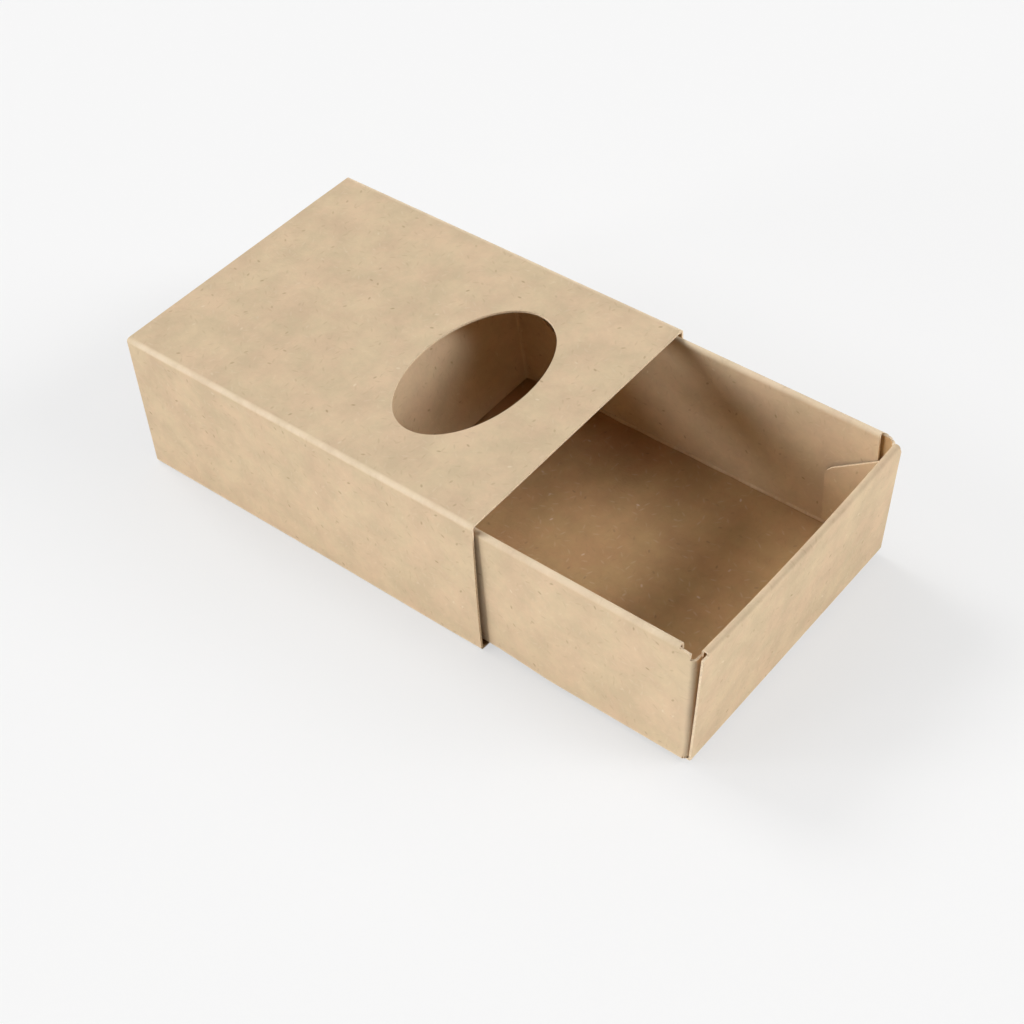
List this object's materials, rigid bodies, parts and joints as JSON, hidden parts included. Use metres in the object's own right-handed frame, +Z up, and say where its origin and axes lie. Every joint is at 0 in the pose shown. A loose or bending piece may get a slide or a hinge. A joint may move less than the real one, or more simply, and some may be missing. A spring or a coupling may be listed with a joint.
{
  "type": "soap box with window",
  "caption": "Kraft card soap box: a sleeve with an oval window in its top, and a fold-up tray that slides out of it like a drawer.",
  "frame": {"origin": "centre of the sleeve's underside, on the surface that the box stands on", "axes": "+X along the slide towards the open end that the tray is drawn out of, +Y across towards the far wall, +Z up"},
  "size_m": [0.1476, 0.07, 0.036],
  "materials": {
    "sleeve_card": "uncoated kraft, matt, fine dark and pale fibres",
    "tray_card": "uncoated kraft, matt, fine dark and pale fibres"
  },
  "bodies": {
    "sleeve": {"sleeve_bottom": "sleeve_card", "sleeve_near_wall": "sleeve_card", "sleeve_top": "sleeve_card", "sleeve_far_wall": "sleeve_card", "sleeve_glue_flap": "sleeve_card"},
    "tray": {"tray_floor": "tray_card", "tray_near_wall_outer": "tray_card", "tray_near_wall_inner": "tray_card", "tray_near_front_tab": "tray_card", "tray_near_back_tab": "tray_card", "tray_far_wall_outer": "tray_card", "tray_far_wall_inner": "tray_card", "tray_far_front_tab": "tray_card", "tray_far_back_tab": "tray_card", "tray_front_wall_outer": "tray_card", "tray_front_rim": "tray_card", "tray_front_wall_inner": "tray_card", "tray_front_near_ear": "tray_card", "tray_front_far_ear": "tray_card", "tray_back_wall_outer": "tray_card", "tray_back_rim": "tray_card", "tray_back_wall_inner": "tray_card", "tray_back_near_ear": "tray_card", "tray_back_far_ear": "tray_card"}
  },
  "joints": [
    {"name": "tray_slide", "type": "slide", "parent": "sleeve", "child": "tray", "axis": [1, 0, 0], "range_m": [-0.051, 0.048]}
  ]
}
